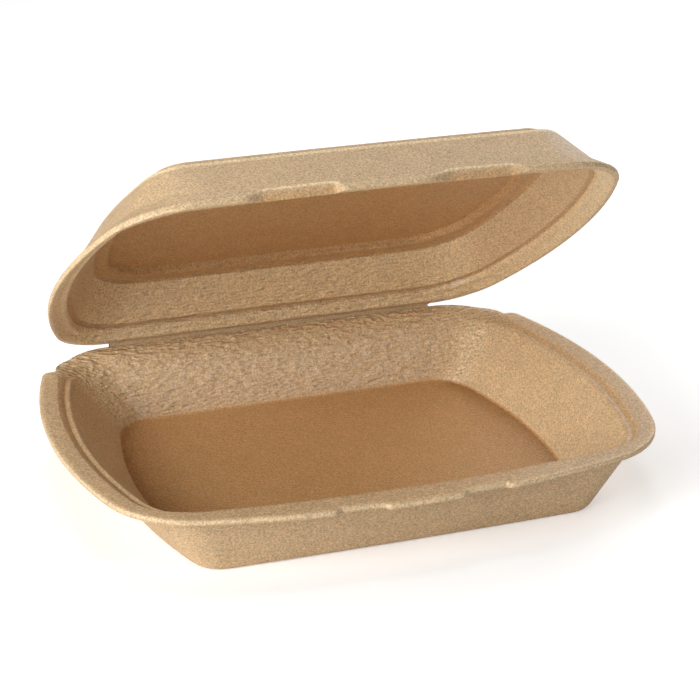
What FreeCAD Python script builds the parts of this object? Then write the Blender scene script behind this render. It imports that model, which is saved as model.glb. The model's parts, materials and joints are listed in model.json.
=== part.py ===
import FreeCAD, Part
import math
import os

import Sketcher

# A hinged foam food box, thermoformed from one sheet: a deep tray, a living
# hinge along its back edge and a shallower lid. It stands open, as it is when
# it is being filled. The origin is on the table under the middle of the tray,
# +X runs along the hinge, +Y points to the hinge and +Z is up.
SIZES = [
    ("rim_height", 28.0, "tray rim above the table"),
    ("flange_thickness", 2.4, "foam at the rim, pressed thinner than the walls"),
    ("floor_thickness", 3.0, "foam of the tray floor"),
    ("hinge_back", 85.5, "hinge axis behind the origin"),
    ("hinge_half_length", 73.0, "half the length of the living hinge"),
    ("hinge_bead_radius", 1.2, "radius of the fold on the hinge axis, and thickness of its web"),
    ("hinge_clearance", 0.1, "gap between the fold and the lid's back edge"),
    ("lid_open_angle", 40.8, "lid angle above its closed place, as in the photograph"),
    ("belly_forward", 2.0, "widest cross section in front of the origin"),
    ("end_radius", 180.0, "plan radius of the bowed ends"),
    ("mouth_half", 109.0, "half width of the tray mouth at its widest"),
    ("mouth_front", 73.8, "tray mouth to the front of the origin"),
    ("mouth_back", 76.0, "tray mouth to the back of the origin"),
    ("mouth_front_radius", 650.0, "plan radius of the mouth's front edge"),
    ("mouth_front_corner", 24.0, "front corners of the mouth"),
    ("mouth_back_corner", 24.0, "back corners of the mouth"),
    ("end_flange", 11.5, "width of the end flanges"),
    ("front_flange", 11.9, "width of the front flange"),
    ("rim_front_radius", 370.0, "plan radius of the tray's front edge"),
    ("rim_front_corner", 38.0, "front corners of the tray rim"),
    ("shoulder_back", 67.0, "square shoulder where each end flange stops"),
    ("shoulder_corner", 4.0, "outer corner of that shoulder"),
    ("back_rim", 4.0, "narrow rim that goes on from the shoulder to the hinge"),
    ("back_rim_corner", 26.5, "back corners of the narrow rim"),
    ("end_flare", 23.0, "how far an end wall leans out from floor to mouth"),
    ("front_flare", 12.3, "how far the front wall leans out"),
    ("back_flare", 15.0, "how far the back wall leans out"),
    ("floor_front_radius", 2500.0, "plan radius of the floor's front edge"),
    ("floor_corner", 16.0, "corners of the floor"),
    ("wall_run", 3.4, "wall thickness measured level, at the mouth"),
    ("foot_margin", 5.4, "underside beyond the floor, all round"),
    ("foot_corner", 11.0, "corners of the underside"),
    ("foot_round", 2.5, "rounding of the bottom edge"),
    ("step_depth", 1.2, "drop of the step inside each end flange"),
    ("step_ledge", 0.9, "level ledge at the foot of the step"),
    ("step_slope", 3.0, "sloped run of the step"),
    ("notch_start", 16.0, "inner end of each catch notch in the front lip, from the middle"),
    ("notch_end", 35.0, "outer end of each catch notch"),
    ("notch_depth", 2.2, "depth of the catch notches"),
    ("edge_round", 0.8, "rounding of the wide flange's outer edge"),
    ("lid_seat_gap", 0.3, "air between the closed rims"),
    ("lid_half", 113.0, "half width of the lid rim at its widest"),
    ("lid_front", 80.5, "lid rim in front of the origin when closed"),
    ("lid_front_radius", 1500.0, "plan radius of the lid's front edge"),
    ("lid_front_corner", 32.0, "front corners of the lid rim"),
    ("lid_back_corner", 27.0, "back corners of the lid rim"),
    ("lid_edge", 2.0, "upright edge of the lid rim"),
    ("brim_rise", 5.2, "rise of the sloped brim above that edge"),
    ("brim_end", 7.6, "sloped brim at the ends, measured level"),
    ("brim_front", 3.6, "sloped brim at the front"),
    ("brim_back", 2.2, "sloped brim at the back"),
    ("lid_wall_rise", 15.3, "rise of the lid wall above the brim"),
    ("lid_end_lean", 13.6, "how far a lid end wall leans in"),
    ("lid_front_lean", 12.6, "how far the lid front wall leans in"),
    ("lid_back_lean", 17.5, "how far the lid back wall leans in"),
    ("lid_top_front_radius", 2500.0, "plan radius of the ledge's front edge"),
    ("lid_top_corner", 13.5, "corners of the ledge round the raised top"),
    ("ledge_width", 4.6, "level ledge round the raised top"),
    ("platform_rise", 3.0, "raised top above the ledge"),
    ("platform_draft", 1.0, "lean of the raised top's riser"),
    ("platform_corner", 10.5, "corners of the raised top"),
    ("lid_wall", 3.0, "foam of the lid's top"),
    ("lid_wall_run", 3.2, "lid wall thickness measured level"),
    ("lip_run", 1.6, "rim thickness measured level at the lid's edge"),
    ("tongue_half", 20.5, "half width of the middle tongue in the lid's front lip"),
    ("relief_end", 53.0, "outer end of each relief beside the tongue"),
    ("relief_height", 4.3, "height of the relief up the lid's front face"),
    ("relief_depth", 1.4, "top of the relief behind the lip, measured level"),
]

doc = FreeCAD.newDocument("foam_clamshell")
sizes = doc.addObject("Spreadsheet::Sheet", "sizes")
for row, (alias, number, meaning) in enumerate(SIZES, start=1):
    sizes.set(f"A{row}", meaning)
    sizes.set(f"B{row}", str(number))
    sizes.setAlias(f"B{row}", alias)
doc.recompute()


def amount(formula):
    """The number that a formula of aliases joined by + and - comes to."""
    total = 0.0
    sign = 1.0
    for word in formula.split():
        if word in ("+", "-"):
            sign = 1.0 if word == "+" else -1.0
        else:
            total += sign * float(getattr(sizes, word))
            sign = 1.0
    return total


def bound(formula):
    """The same formula, as an expression that reads the sheet."""
    return " ".join(word if word in ("+", "-") else "sizes." + word for word in formula.split())


def origin_plane(body, role):
    """One of the three origin planes of a body."""
    return next(item for item in body.Origin.OriginFeatures if item.Role == role)


def new_sketch(body, name, role, level=None):
    """An empty sketch on an origin plane, raised by the formula level."""
    sketch = body.newObject("Sketcher::SketchObject", name)
    sketch.AttachmentSupport = [(origin_plane(body, role), "")]
    sketch.MapMode = "FlatFace"
    if level:
        sketch.AttachmentOffset = FreeCAD.Placement(
            FreeCAD.Vector(0, 0, amount(level)), FreeCAD.Rotation()
        )
        sketch.setExpression("AttachmentOffset.Base.z", bound(level))
    return sketch


def bind(sketch, constraint, name, formula):
    """Adds a dimension to a sketch, names it and binds it to the sheet."""
    index = sketch.addConstraint(constraint)
    sketch.renameConstraint(index, name)
    sketch.setExpression("Constraints." + name, bound(formula))


def arc_between(centre, radius, start, end):
    """A counter-clockwise arc from the direction of start to that of end."""
    first = math.atan2(start.y - centre.y, start.x - centre.x)
    last = math.atan2(end.y - centre.y, end.x - centre.x)
    if last < first:
        last += 2 * math.pi
    circle = Part.Circle(centre, FreeCAD.Vector(0, 0, 1), radius)
    return Part.ArcOfCircle(circle, first, last)


def outline(body, name, level, half, front, back, plan):
    """A closed plan outline, alike on both sides of the Y axis.

    Straight back edge, bowed ends and front, and four rounded corners, all
    tangent. half, front and back are formulas for where it reaches: sideways
    at the belly, to the front and to the back. plan gives the formulas of the
    belly's place and of the four radii.
    """
    belly = amount(plan["belly"])
    end_radius = amount(plan["end"])
    front_radius = amount(plan["front"])
    front_corner = amount(plan["front_corner"])
    back_corner = amount(plan["back_corner"])
    end_centre = FreeCAD.Vector(amount(half) - end_radius, belly, 0)
    front_centre = FreeCAD.Vector(0, amount(front) + front_radius, 0)
    back_level = amount(back)

    # The back corner is tangent to the back edge and to the end arc.
    rise = back_level - back_corner - belly
    reach = math.sqrt((end_radius - back_corner) ** 2 - rise**2)
    back_round = FreeCAD.Vector(end_centre.x + reach, back_level - back_corner, 0)

    # The front corner is tangent to the end arc and to the front arc.
    span = front_centre - end_centre
    to_end = end_radius - front_corner
    to_front = front_radius - front_corner
    along = (to_end**2 - to_front**2 + span.Length**2) / (2 * span.Length)
    across = math.sqrt(to_end**2 - along**2)
    unit = FreeCAD.Vector(span).normalize()
    front_round = end_centre + unit * along + FreeCAD.Vector(unit.y, -unit.x, 0) * across

    def from_centre(centre, via, radius):
        return centre + FreeCAD.Vector(via - centre).normalize() * radius

    def flip(point):
        return FreeCAD.Vector(-point.x, point.y, 0)

    back_end = FreeCAD.Vector(back_round.x, back_level, 0)
    end_top = from_centre(end_centre, back_round, end_radius)
    end_low = from_centre(end_centre, front_round, end_radius)
    front_end = from_centre(front_centre, front_round, front_radius)

    sketch = new_sketch(body, name, "XY_Plane", level)
    edges = [
        arc_between(front_centre, front_radius, flip(front_end), front_end),
        arc_between(front_round, front_corner, front_end, end_low),
        arc_between(end_centre, end_radius, end_low, end_top),
        arc_between(back_round, back_corner, end_top, back_end),
        Part.LineSegment(back_end, flip(back_end)),
        arc_between(flip(back_round), back_corner, flip(back_end), flip(end_top)),
        arc_between(flip(end_centre), end_radius, flip(end_top), flip(end_low)),
        arc_between(flip(front_round), front_corner, flip(end_low), flip(front_end)),
    ]
    sketch.addGeometry(edges, False)
    for index in range(len(edges)):
        following = (index + 1) % len(edges)
        sketch.addConstraint(Sketcher.Constraint("Tangent", index, 2, following, 1))
    bow, corner, end, back_turn, back_edge, far_turn, far_end, far_corner = range(8)
    sketch.addConstraint(Sketcher.Constraint("PointOnObject", bow, 3, -2))
    sketch.addConstraint(Sketcher.Constraint("Symmetric", end, 3, far_end, 3, -2))
    sketch.addConstraint(Sketcher.Constraint("Equal", end, far_end))
    sketch.addConstraint(Sketcher.Constraint("Equal", corner, far_corner))
    sketch.addConstraint(Sketcher.Constraint("Equal", back_turn, far_turn))
    sketch.addConstraint(Sketcher.Constraint("Horizontal", back_edge))
    bind(sketch, Sketcher.Constraint("Radius", bow, front_radius), "bow_radius", plan["front"])
    bind(sketch, Sketcher.Constraint("Radius", end, end_radius), "end_radius", plan["end"])
    bind(sketch, Sketcher.Constraint("Radius", corner, front_corner), "corner", plan["front_corner"])
    bind(sketch, Sketcher.Constraint("Radius", back_turn, back_corner), "turn", plan["back_corner"])
    bind(
        sketch,
        Sketcher.Constraint("DistanceY", -1, 1, bow, 3, front_centre.y),
        "bow_centre",
        front + " + " + plan["front"],
    )
    bind(
        sketch,
        Sketcher.Constraint("DistanceX", -1, 1, end, 3, end_centre.x),
        "end_centre",
        half + " - " + plan["end"],
    )
    bind(sketch, Sketcher.Constraint("DistanceY", -1, 1, end, 3, belly), "belly", plan["belly"])
    bind(
        sketch,
        Sketcher.Constraint("DistanceY", -1, 1, back_edge, 1, back_level),
        "back",
        back,
    )
    sketch.Visibility = False
    return sketch


def loft(body, kind, name, lower, upper):
    """A straight-sided loft, added or taken away, between two outlines."""
    feature = body.newObject("PartDesign::" + kind, name)
    feature.Profile = lower
    feature.Sections = [upper]
    feature.Ruled = True
    return feature


def pad(body, name, sketch, height):
    """A pad upwards from a sketch by the formula height."""
    feature = body.newObject("PartDesign::Pad", name)
    feature.Profile = sketch
    feature.Length = amount(height)
    feature.setExpression("Length", bound(height))
    return feature


def profile(body, name, points):
    """A closed polygon on the YZ plane, each corner given by two formulas."""
    sketch = new_sketch(body, name, "YZ_Plane")
    corners = [FreeCAD.Vector(amount(across), amount(up), 0) for across, up in points]
    for index, corner in enumerate(corners):
        following = corners[(index + 1) % len(corners)]
        sketch.addGeometry(Part.LineSegment(corner, following), False)
    for index in range(len(corners)):
        following = (index + 1) % len(corners)
        sketch.addConstraint(Sketcher.Constraint("Coincident", index, 2, following, 1))
    for index, (across, up) in enumerate(points):
        corner = corners[index]
        bind(
            sketch,
            Sketcher.Constraint("DistanceX", -1, 1, index, 1, corner.x),
            f"across_{index}",
            across,
        )
        bind(
            sketch,
            Sketcher.Constraint("DistanceY", -1, 1, index, 1, corner.y),
            f"up_{index}",
            up,
        )
    sketch.Visibility = False
    return sketch


def cut_between(body, name, section, start, length):
    """A pocket of one section, cut along X from the formula start."""
    sketch = profile(body, name + "_section", section)
    sketch.AttachmentOffset = FreeCAD.Placement(
        FreeCAD.Vector(0, 0, amount(start)), FreeCAD.Rotation()
    )
    sketch.setExpression("AttachmentOffset.Base.z", bound(start))
    feature = body.newObject("PartDesign::Pocket", name)
    feature.Profile = sketch
    feature.Reversed = True
    feature.setExpression("Length", bound(length))
    return feature


def edges_round(shape, level, back="hinge_back"):
    """Names of the outer edges of the flat faces at one height, up to the line back."""
    outer = []
    for face in shape.Faces:
        box = face.BoundBox
        if abs(box.ZMin - level) < 1e-4 and abs(box.ZMax - level) < 1e-4:
            outer.extend(face.OuterWire.Edges)
    names = []
    for index, edge in enumerate(shape.Edges, start=1):
        in_reach = edge.BoundBox.YMax < amount(back) + 1e-4
        if in_reach and any(edge.isSame(other) for other in outer):
            names.append(f"Edge{index}")
    return names


def round_edges(body, name, names, radius):
    """Rounds the named edges of the body's present shape."""
    rounded = body.Tip
    feature = body.newObject("PartDesign::Fillet", name)
    feature.Base = (rounded, names)
    feature.Radius = amount(radius)
    feature.setExpression("Radius", bound(radius))
    return feature


# The tray: flared walls under a flat rim that is wide at the front and ends.
tray = doc.addObject("PartDesign::Body", "base_tray")
tray.Label = "base_tray"

MOUTH_PLAN = {
    "belly": "- belly_forward",
    "end": "end_radius",
    "front": "mouth_front_radius",
    "front_corner": "mouth_front_corner",
    "back_corner": "mouth_back_corner",
}
FLOOR_PLAN = dict(
    MOUTH_PLAN, front="floor_front_radius", front_corner="floor_corner", back_corner="floor_corner"
)
FOOT_PLAN = dict(FLOOR_PLAN, front_corner="foot_corner", back_corner="foot_corner")
RIM_PLAN = dict(
    MOUTH_PLAN, front="rim_front_radius", front_corner="rim_front_corner", back_corner="shoulder_corner"
)
BACK_PLAN = dict(MOUTH_PLAN, back_corner="back_rim_corner")

FLOOR_HALF = "mouth_half - end_flare"
FLOOR_FRONT = "front_flare - mouth_front"
FLOOR_BACK = "mouth_back - back_flare"

foot = outline(
    tray,
    "foot_outline",
    None,
    FLOOR_HALF + " + foot_margin",
    FLOOR_FRONT + " - foot_margin",
    FLOOR_BACK + " + foot_margin",
    FOOT_PLAN,
)
wall_top = outline(
    tray,
    "wall_top_outline",
    "rim_height",
    "mouth_half + wall_run",
    "- mouth_front - wall_run",
    "mouth_back + wall_run",
    MOUTH_PLAN,
)
loft(tray, "AdditiveLoft", "tray_walls", foot, wall_top)

rim = outline(
    tray,
    "rim_outline",
    "rim_height - flange_thickness",
    "mouth_half + end_flange",
    "- mouth_front - front_flange",
    "shoulder_back",
    RIM_PLAN,
)
pad(tray, "wide_flange", rim, "flange_thickness")

narrow = outline(
    tray,
    "narrow_rim_outline",
    "rim_height - flange_thickness",
    "mouth_half + back_rim",
    "- mouth_front - back_rim",
    "hinge_back - hinge_bead_radius - hinge_clearance",
    BACK_PLAN,
)
pad(tray, "narrow_rim", narrow, "flange_thickness")

floor = outline(tray, "floor_outline", "floor_thickness", FLOOR_HALF, FLOOR_FRONT, FLOOR_BACK, FLOOR_PLAN)
mouth = outline(
    tray, "mouth_outline", "rim_height", "mouth_half", "- mouth_front", "mouth_back", MOUTH_PLAN
)
loft(tray, "SubtractiveLoft", "tray_hollow", floor, mouth)

# A shallow step runs along the inside of each end flange.
step_foot = outline(
    tray,
    "step_foot_outline",
    "rim_height - step_depth",
    "mouth_half + step_ledge",
    "- mouth_front",
    "mouth_back",
    MOUTH_PLAN,
)
step_top = outline(
    tray,
    "step_top_outline",
    "rim_height",
    "mouth_half + step_ledge + step_slope",
    "- mouth_front",
    "mouth_back",
    MOUTH_PLAN,
)
loft(tray, "SubtractiveLoft", "end_steps", step_foot, step_top)

doc.recompute()
round_edges(tray, "foot_rounding", edges_round(tray.Shape, 0.0), "foot_round")
doc.recompute()
round_edges(
    tray,
    "rim_rounding",
    edges_round(tray.Shape, amount("rim_height"), "shoulder_back")
    + edges_round(tray.Shape, amount("rim_height - flange_thickness"), "shoulder_back"),
    "edge_round",
)

# Two notches in the front lip catch the lid.
NOTCH_LINE = "- mouth_front - front_flange + notch_depth"
NOTCH_SECTION = [
    ("- mouth_front - front_flange - notch_depth", "rim_height - flange_thickness - notch_depth"),
    (NOTCH_LINE, "rim_height - flange_thickness - notch_depth"),
    (NOTCH_LINE, "rim_height + notch_depth"),
    ("- mouth_front - front_flange - notch_depth", "rim_height + notch_depth"),
]
NOTCH_LENGTH = "notch_end - notch_start"
cut_between(tray, "right_notch", NOTCH_SECTION, "notch_start", NOTCH_LENGTH)
cut_between(tray, "left_notch", NOTCH_SECTION, "- notch_end", NOTCH_LENGTH)

# The living hinge is a thin pressed web that ends in a rounded fold. One
# profile gives both: three sides of the web and three quarters of the fold.
hinge = new_sketch(tray, "hinge_profile", "YZ_Plane")
fold = FreeCAD.Vector(amount("hinge_back"), amount("rim_height"), 0)
fold_radius = amount("hinge_bead_radius")
root = fold - FreeCAD.Vector(fold_radius + amount("back_rim"), 0, 0)
down = FreeCAD.Vector(0, -fold_radius, 0)
circle = Part.Circle(fold, FreeCAD.Vector(0, 0, 1), fold_radius)
hinge.addGeometry(
    [
        Part.LineSegment(root + down, fold + down),
        Part.ArcOfCircle(circle, -math.pi / 2, math.pi),
        Part.LineSegment(fold - FreeCAD.Vector(fold_radius, 0, 0), root),
        Part.LineSegment(root, root + down),
    ],
    False,
)
hinge.addConstraint(Sketcher.Constraint("Tangent", 0, 2, 1, 1))
hinge.addConstraint(Sketcher.Constraint("Coincident", 1, 2, 2, 1))
hinge.addConstraint(Sketcher.Constraint("Coincident", 2, 2, 3, 1))
hinge.addConstraint(Sketcher.Constraint("Coincident", 3, 2, 0, 1))
hinge.addConstraint(Sketcher.Constraint("Horizontal", 0))
hinge.addConstraint(Sketcher.Constraint("Horizontal", 2))
hinge.addConstraint(Sketcher.Constraint("Vertical", 3))
hinge.addConstraint(Sketcher.Constraint("Horizontal", 1, 3, 1, 2))
bind(hinge, Sketcher.Constraint("Radius", 1, fold_radius), "fold", "hinge_bead_radius")
bind(hinge, Sketcher.Constraint("DistanceX", -1, 1, 1, 3, fold.x), "across", "hinge_back")
bind(hinge, Sketcher.Constraint("DistanceY", -1, 1, 1, 3, fold.y), "up", "rim_height")
bind(
    hinge,
    Sketcher.Constraint("DistanceX", -1, 1, 3, 1, root.x),
    "root",
    "hinge_back - hinge_bead_radius - back_rim",
)
hinge.Visibility = False
web = tray.newObject("PartDesign::Pad", "hinge_web")
web.Profile = hinge
web.Midplane = True
web.setExpression("Length", bound("hinge_half_length + hinge_half_length"))

# The lid is drawn closed, from the hinge axis: its front is towards -Y, and
# heights count up from the plane of the tray rim. Its placement opens it.
lid = doc.addObject("PartDesign::Body", "lid")
lid.Label = "lid"

LID_PLAN = {
    "belly": "- belly_forward - hinge_back",
    "end": "end_radius",
    "front": "lid_front_radius",
    "front_corner": "lid_front_corner",
    "back_corner": "lid_back_corner",
}
TOP_PLAN = dict(
    LID_PLAN, front="lid_top_front_radius", front_corner="lid_top_corner", back_corner="lid_top_corner"
)
PLATFORM_PLAN = dict(TOP_PLAN, front_corner="platform_corner", back_corner="platform_corner")

LID_FRONT = "- hinge_back - lid_front"
LID_BACK = "- hinge_bead_radius - hinge_clearance"
BRIM_LEVEL = "lid_seat_gap + lid_edge + brim_rise"
LEDGE_LEVEL = BRIM_LEVEL + " + lid_wall_rise"
BRIM_HALF = "lid_half - brim_end"
BRIM_FRONT = LID_FRONT + " + brim_front"
BRIM_BACK = LID_BACK + " - brim_back"
LEDGE_HALF = BRIM_HALF + " - lid_end_lean"
LEDGE_FRONT = BRIM_FRONT + " + lid_front_lean"
LEDGE_BACK = BRIM_BACK + " - lid_back_lean"

lid_rim = outline(lid, "lid_rim_outline", "lid_seat_gap", "lid_half", LID_FRONT, LID_BACK, LID_PLAN)
pad(lid, "lid_edge_band", lid_rim, "lid_edge")
brim_foot = outline(
    lid, "brim_foot_outline", "lid_seat_gap + lid_edge", "lid_half", LID_FRONT, LID_BACK, LID_PLAN
)
brim_head = outline(lid, "brim_head_outline", BRIM_LEVEL, BRIM_HALF, BRIM_FRONT, BRIM_BACK, LID_PLAN)
loft(lid, "AdditiveLoft", "brim", brim_foot, brim_head)
wall_foot = outline(lid, "lid_wall_foot_outline", BRIM_LEVEL, BRIM_HALF, BRIM_FRONT, BRIM_BACK, LID_PLAN)
wall_head = outline(lid, "ledge_outline", LEDGE_LEVEL, LEDGE_HALF, LEDGE_FRONT, LEDGE_BACK, TOP_PLAN)
loft(lid, "AdditiveLoft", "lid_walls", wall_foot, wall_head)
riser_foot = outline(
    lid,
    "riser_foot_outline",
    LEDGE_LEVEL,
    LEDGE_HALF + " - ledge_width",
    LEDGE_FRONT + " + ledge_width",
    LEDGE_BACK + " - ledge_width",
    PLATFORM_PLAN,
)
riser_head = outline(
    lid,
    "riser_head_outline",
    LEDGE_LEVEL + " + platform_rise",
    LEDGE_HALF + " - ledge_width - platform_draft",
    LEDGE_FRONT + " + ledge_width + platform_draft",
    LEDGE_BACK + " - ledge_width - platform_draft",
    PLATFORM_PLAN,
)
loft(lid, "AdditiveLoft", "raised_top", riser_foot, riser_head)

# The hollow follows the outside at one foam thickness.
hollow_foot = outline(
    lid,
    "lid_mouth_outline",
    "lid_seat_gap",
    "lid_half - lip_run",
    LID_FRONT + " + lid_wall_run",
    LID_BACK + " - lid_wall_run",
    LID_PLAN,
)
hollow_brim = outline(
    lid,
    "inner_brim_outline",
    BRIM_LEVEL + " - lid_edge",
    BRIM_HALF + " - lid_edge",
    BRIM_FRONT + " + lid_wall_run",
    BRIM_BACK + " - lid_wall_run",
    LID_PLAN,
)
loft(lid, "SubtractiveLoft", "brim_hollow", hollow_foot, hollow_brim)
hollow_wall = outline(
    lid,
    "inner_wall_outline",
    BRIM_LEVEL + " - lid_edge",
    BRIM_HALF + " - lid_edge",
    BRIM_FRONT + " + lid_wall_run",
    BRIM_BACK + " - lid_wall_run",
    LID_PLAN,
)
hollow_ledge = outline(
    lid,
    "inner_ledge_outline",
    LEDGE_LEVEL + " - lid_wall",
    LEDGE_HALF + " - lid_edge",
    LEDGE_FRONT + " + lid_edge",
    LEDGE_BACK + " - lid_edge",
    TOP_PLAN,
)
loft(lid, "SubtractiveLoft", "lid_hollow", hollow_wall, hollow_ledge)
hollow_riser = outline(
    lid,
    "inner_riser_outline",
    LEDGE_LEVEL + " - lid_wall",
    LEDGE_HALF + " - ledge_width - lid_wall",
    LEDGE_FRONT + " + ledge_width + lid_wall",
    LEDGE_BACK + " - ledge_width - lid_wall",
    PLATFORM_PLAN,
)
hollow_top = outline(
    lid,
    "inner_top_outline",
    LEDGE_LEVEL + " - lid_wall + platform_rise",
    LEDGE_HALF + " - ledge_width - lid_wall - platform_draft",
    LEDGE_FRONT + " + ledge_width + lid_wall + platform_draft",
    LEDGE_BACK + " - ledge_width - lid_wall - platform_draft",
    PLATFORM_PLAN,
)
loft(lid, "SubtractiveLoft", "raised_top_hollow", hollow_riser, hollow_top)

# Two bevelled reliefs in the front lip leave a tongue standing between them.
RELIEF_FOOT = LID_FRONT + " + lid_wall_run - lid_seat_gap"
RELIEF_SECTION = [
    (LID_FRONT + " - lid_edge", "lid_seat_gap - lid_edge"),
    (RELIEF_FOOT, "lid_seat_gap - lid_edge"),
    (RELIEF_FOOT, "lid_seat_gap"),
    (LID_FRONT + " + relief_depth", "lid_seat_gap + relief_height"),
    (LID_FRONT + " - lid_edge", "lid_seat_gap + relief_height"),
]
RELIEF_LENGTH = "relief_end - tongue_half"
cut_between(lid, "right_relief", RELIEF_SECTION, "tongue_half", RELIEF_LENGTH)
cut_between(lid, "left_relief", RELIEF_SECTION, "- relief_end", RELIEF_LENGTH)

lid.Placement = FreeCAD.Placement(
    FreeCAD.Vector(0, amount("hinge_back"), amount("rim_height")),
    FreeCAD.Rotation(FreeCAD.Vector(-1, 0, 0), amount("lid_open_angle")),
)
lid.setExpression("Placement.Base.y", bound("hinge_back"))
lid.setExpression("Placement.Base.z", bound("rim_height"))
lid.setExpression("Placement.Rotation.Angle", bound("lid_open_angle"))

doc.recompute()
for item in doc.Objects:
    if "Invalid" in item.State or "Error" in item.State:
        raise RuntimeError(f"{item.Name} failed: {item.State}")

os.makedirs("parts", exist_ok=True)
for body in (tray, lid):
    shape = body.Shape
    if shape.isNull() or not shape.isValid():
        raise RuntimeError(f"{body.Label} has no valid shape")
    shape.exportStep(f"parts/{body.Label}.step")
    box = shape.BoundBox
    print(
        f"{body.Label}: {len(shape.Solids)} solid, {shape.Volume / 1000:.1f} cm3, "
        f"x {box.XMin:.1f} to {box.XMax:.1f}, y {box.YMin:.1f} to {box.YMax:.1f}, "
        f"z {box.ZMin:.1f} to {box.ZMax:.1f}"
    )
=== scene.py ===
import json
import math

import bpy
import numpy as np
from mathutils import Matrix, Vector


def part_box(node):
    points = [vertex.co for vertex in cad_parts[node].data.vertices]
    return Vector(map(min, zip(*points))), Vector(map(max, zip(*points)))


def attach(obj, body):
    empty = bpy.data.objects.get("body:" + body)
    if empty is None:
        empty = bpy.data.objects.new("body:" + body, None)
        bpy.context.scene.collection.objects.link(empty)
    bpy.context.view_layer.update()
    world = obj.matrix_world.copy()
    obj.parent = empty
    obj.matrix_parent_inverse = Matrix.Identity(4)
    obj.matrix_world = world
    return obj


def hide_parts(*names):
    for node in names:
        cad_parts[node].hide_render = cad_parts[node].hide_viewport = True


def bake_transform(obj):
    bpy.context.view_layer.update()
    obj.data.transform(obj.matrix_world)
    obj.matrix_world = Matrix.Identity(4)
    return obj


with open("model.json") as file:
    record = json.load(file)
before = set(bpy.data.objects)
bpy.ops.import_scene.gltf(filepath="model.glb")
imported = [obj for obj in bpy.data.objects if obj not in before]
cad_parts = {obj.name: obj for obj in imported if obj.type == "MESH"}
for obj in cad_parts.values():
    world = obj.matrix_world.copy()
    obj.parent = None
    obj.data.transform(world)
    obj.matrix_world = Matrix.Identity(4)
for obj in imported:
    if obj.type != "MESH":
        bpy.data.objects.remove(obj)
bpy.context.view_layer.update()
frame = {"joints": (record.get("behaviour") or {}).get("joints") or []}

# Base tray: the deep lower half of a hinged food box, thermoformed from tan
# foam sheet about 3 mm thick. Walls, floor, rim and end flanges are one skin
# pressed over a mould, with soft edges and wrinkles where it was drawn down.
MM = 0.001
hinge_joint = frame["joints"][0]
HINGE_BACK, RIM_HEIGHT = hinge_joint["pos_m"][1], hinge_joint["pos_m"][2]
END_RADIUS = 180 * MM
BELLY = -2 * MM
END_FLANGE, FRONT_FLANGE = 11.5 * MM, 11.9 * MM
MOUTH_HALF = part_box("base_tray")[1].x - END_FLANGE
MOUTH_FRONT = -73.8 * MM
MOUTH_BACK = 76 * MM
FLOOR_LEVEL = 3 * MM
END_FLARE, FRONT_FLARE, BACK_FLARE = 23 * MM, 12.3 * MM, 15 * MM
FLANGE_THICKNESS = 2.4 * MM
SHOULDER_BACK = 67 * MM
BACK_RIM = 4 * MM
RIM_BACK = HINGE_BACK - 1.3 * MM
WALL_RUN = 3.4 * MM
FOOT_MARGIN = 5.4 * MM
STEP_DEPTH, STEP_LEDGE, STEP_SLOPE, STEP_GROOVE = 1.2 * MM, 0.9 * MM, 3 * MM, 0.5 * MM
BACK_DROP, BACK_ROLL, BACK_CROWN, BACK_ROUND = 3.4 * MM, 4.6 * MM, 0.9 * MM, 2 * MM
FLOOR_GROOVE = 0.6 * MM
NOTCH_START, NOTCH_END, NOTCH_DEPTH, NOTCH_SOFT = 16 * MM, 35 * MM, 2.2 * MM, 1.6 * MM
POLE_RING = 0.04


def edge_steps(count, clusters=()):
    """Fractions from 0 up to but not including 1 along one edge of a plan.

    They are evenly spaced, with nine more packed round each cluster.
    """
    near = np.linspace(-0.02, 0.02, 9)
    packed = [middle + near for middle in clusters]
    steps = np.unique(np.concatenate([np.linspace(0, 1, count, endpoint=False), *packed]))
    return steps[(steps >= 0) & (steps < 1)]


def plan_outline(half, front, back, plan, steps):
    """Closed plan outline of tangent arcs, an array of points from the front round the right.

    The right half is a bow round a centre on the Y axis, a front corner, the
    bowed end, a back turn and half of the straight back edge. Each corner's
    centre lies where the two arcs it joins, both smaller by its own radius,
    cross. The left half is the mirror image.
    """
    belly, end_radius, bow_radius, front_corner, back_corner = plan
    end_centre = np.array([half - end_radius, belly])
    bow_centre = np.array([0.0, front + bow_radius])
    rise = back - back_corner - belly
    back_turn = end_centre + [math.sqrt((end_radius - back_corner) ** 2 - rise**2), rise]
    span = bow_centre - end_centre
    length = math.hypot(*span)
    to_end, to_bow = end_radius - front_corner, bow_radius - front_corner
    along = (to_end**2 - to_bow**2 + length**2) / (2 * length)
    across = math.sqrt(to_end**2 - along**2)
    unit = span / length
    corner = end_centre + unit * along + np.array([unit[1], -unit[0]]) * across
    low = math.atan2(*(corner - bow_centre)[::-1])
    side = math.atan2(*(corner - end_centre)[::-1])
    high = math.atan2(*(back_turn - end_centre)[::-1])
    arcs = [
        (bow_centre, bow_radius, -math.pi / 2, low),
        (corner, front_corner, low, side),
        (end_centre, end_radius, side, high),
        (back_turn, back_corner, high, math.pi / 2),
    ]
    runs = []
    for (centre, radius, start, end), share in zip(arcs, steps):
        angle = start + (end - start) * share
        runs.append(centre + radius * np.stack([np.cos(angle), np.sin(angle)], axis=1))
    share = np.append(steps[4], 1.0)
    runs.append(np.stack([back_turn[0] * (1 - share), np.full_like(share, back)], axis=1))
    right = np.concatenate(runs)
    left = right[-2:0:-1] * [-1, 1]
    return np.concatenate([right, left])


def at_height(outline, height):
    """The outline as points in space; height is one number or one for each point."""
    return np.column_stack([outline, np.broadcast_to(height, len(outline))])


def outward_of(outline):
    """Unit normals that point out of a plan outline: its tangent turned a quarter to the right."""
    tangent = np.roll(outline, -1, axis=0) - np.roll(outline, 1, axis=0)
    tangent /= np.linalg.norm(tangent, axis=1, keepdims=True)
    return np.stack([tangent[:, 1], -tangent[:, 0]], axis=1)


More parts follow.
